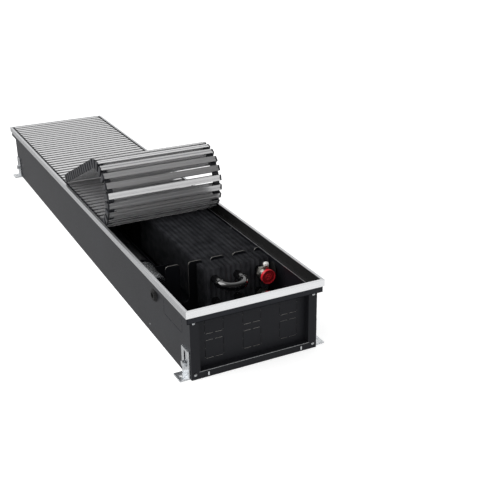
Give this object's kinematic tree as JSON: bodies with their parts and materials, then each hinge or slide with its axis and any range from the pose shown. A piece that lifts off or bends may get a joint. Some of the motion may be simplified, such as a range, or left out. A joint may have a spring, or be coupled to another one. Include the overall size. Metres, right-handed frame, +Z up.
{
  "type": "trench convector heater",
  "caption": "In-floor trench convector: black casing with finned pipe heat exchanger and cross-flow fan under an aluminium frame and roll-up grille, partly rolled back.",
  "frame": {"origin": "middle of the casing in plan, at the underside of its floor", "axes": "+Y along the heater, away from the pipe connections; +Z up; +X to the heat exchanger side"},
  "size_m": [0.27, 1.2, 0.247],
  "materials": {
    "casing": "black powder coat on zinc-coated steel sheet",
    "frame": "satin natural anodised extrusion",
    "slats": "satin anodised slats with black plastic end links",
    "fins": "black dip coat",
    "pipes": "black coated copper tube",
    "nickel": "nickel plated brass",
    "zinc": "bright zinc plated steel",
    "rubber": "black rubber",
    "impeller": "black coated aluminium",
    "cap": "red moulded plastic",
    "knob": "white moulded plastic",
    "box": "dark moulded plastic"
  },
  "bodies": {
    "casing": {"casing_tray": "casing", "end_panel_front": "casing", "end_panel_rear": "casing", "casing_screws": "zinc", "frame_left": "frame", "frame_right": "frame", "frame_front": "frame", "frame_rear": "frame", "rest_strips": "rubber", "braces": "casing", "fin_pack": "fins", "pipes": "pipes", "return_bends": "pipes", "pipe_fittings": "nickel", "air_vent_body": "nickel", "fan_housing": "casing", "fan_motor": "zinc", "motor_bracket": "zinc", "bearing_plate": "zinc", "far_bearing": "rubber", "terminal_box": "box", "terminal_lid": "box", "cable_grommets": "rubber", "motor_cable": "rubber", "foot_bolts": "zinc"},
    "grille": {"flat_grille": "slats"},
    "fan_rotor": {"impeller": "impeller", "drive_coupling": "rubber"},
    "vent_screw": {"bleed_screw": "knob"},
    "supply_plug": {"supply_cap": "cap"},
    "return_plug": {"return_cap": "cap"},
    "front_left_foot": {"foot_front_left": "zinc"},
    "front_right_foot": {"foot_front_right": "zinc"},
    "rear_left_foot": {"foot_rear_left": "zinc"},
    "rear_right_foot": {"foot_rear_right": "zinc"},
    "roll_01": {"roll_slat_01": "slats"},
    "roll_02": {"roll_slat_02": "slats"},
    "roll_03": {"roll_slat_03": "slats"},
    "roll_04": {"roll_slat_04": "slats"},
    "roll_05": {"roll_slat_05": "slats"},
    "roll_06": {"roll_slat_06": "slats"},
    "roll_07": {"roll_slat_07": "slats"},
    "roll_08": {"roll_slat_08": "slats"},
    "roll_09": {"roll_slat_09": "slats"},
    "roll_10": {"roll_slat_10": "slats"},
    "roll_11": {"roll_slat_11": "slats"},
    "roll_tail": {"roll_tail": "slats"}
  },
  "joints": [
    {"name": "grille_lift", "type": "slide", "parent": "casing", "child": "grille", "axis": [0, 0, 1], "range_m": [0, 0.2]},
    {"name": "fan_spin", "type": "hinge", "parent": "casing", "child": "fan_rotor", "pos_m": [-0.088, 0, 0.064], "axis": [0, 1, 0], "continuous": true},
    {"name": "vent_turn", "type": "hinge", "parent": "casing", "child": "vent_screw", "pos_m": [0.091, -0.455, 0.1], "axis": [0, 0, 1], "range_deg": [0, 360]},
    {"name": "supply_cap_pull", "type": "slide", "parent": "casing", "child": "supply_plug", "axis": [0, -1, 0], "range_m": [0, 0.1]},
    {"name": "return_cap_pull", "type": "slide", "parent": "casing", "child": "return_plug", "axis": [0, -1, 0], "range_m": [0, 0.1]},
    {"name": "front_left_foot_height", "type": "slide", "parent": "casing", "child": "front_left_foot", "axis": [0, 0, -1], "range_m": [0, 0.02]},
    {"name": "front_right_foot_height", "type": "slide", "parent": "casing", "child": "front_right_foot", "axis": [0, 0, -1], "range_m": [0, 0.02]},
    {"name": "rear_left_foot_height", "type": "slide", "parent": "casing", "child": "rear_left_foot", "axis": [0, 0, -1], "range_m": [0, 0.02]},
    {"name": "rear_right_foot_height", "type": "slide", "parent": "casing", "child": "rear_right_foot", "axis": [0, 0, -1], "range_m": [0, 0.02]},
    {"name": "roll_hinge_01", "type": "hinge", "parent": "grille", "child": "roll_01", "pos_m": [0, -0.1575, 0.1208], "axis": [1, 0, 0], "range_deg": [0, 17]},
    {"name": "roll_hinge_02", "type": "hinge", "parent": "roll_01", "child": "roll_02", "pos_m": [0, -0.17424, 0.12592], "axis": [1, 0, 0], "range_deg": [0, 17]},
    {"name": "roll_hinge_03", "type": "hinge", "parent": "roll_02", "child": "roll_03", "pos_m": [0, -0.18874, 0.1357], "axis": [1, 0, 0], "range_deg": [0, 17]},
    {"name": "roll_hinge_04", "type": "hinge", "parent": "roll_03", "child": "roll_04", "pos_m": [0, -0.19976, 0.1493], "axis": [1, 0, 0], "range_deg": [0, 17]},
    {"name": "roll_hinge_05", "type": "hinge", "parent": "roll_04", "child": "roll_05", "pos_m": [0, -0.20631, 0.16553], "axis": [1, 0, 0], "range_deg": [0, 17]},
    {"name": "roll_hinge_06", "type": "hinge", "parent": "roll_05", "child": "roll_06", "pos_m": [0, -0.20784, 0.18296], "axis": [1, 0, 0], "range_deg": [0, 17]},
    {"name": "roll_hinge_07", "type": "hinge", "parent": "roll_06", "child": "roll_07", "pos_m": [0, -0.2042, 0.20008], "axis": [1, 0, 0], "range_deg": [0, 17]},
    {"name": "roll_hinge_08", "type": "hinge", "parent": "roll_07", "child": "roll_08", "pos_m": [0, -0.19572, 0.21538], "axis": [1, 0, 0], "range_deg": [0, 17]},
    {"name": "roll_hinge_09", "type": "hinge", "parent": "roll_08", "child": "roll_09", "pos_m": [0, -0.18313, 0.22754], "axis": [1, 0, 0], "range_deg": [0, 17]},
    {"name": "roll_hinge_10", "type": "hinge", "parent": "roll_09", "child": "roll_10", "pos_m": [0, -0.16754, 0.23549], "axis": [1, 0, 0], "range_deg": [0, 17]},
    {"name": "roll_hinge_11", "type": "hinge", "parent": "roll_10", "child": "roll_11", "pos_m": [0, -0.15031, 0.23853], "axis": [1, 0, 0], "range_deg": [0, 17]},
    {"name": "roll_hinge_12", "type": "hinge", "parent": "roll_11", "child": "roll_tail", "pos_m": [0, -0.13294, 0.2364], "axis": [1, 0, 0], "range_deg": [0, 17]}
  ]
}
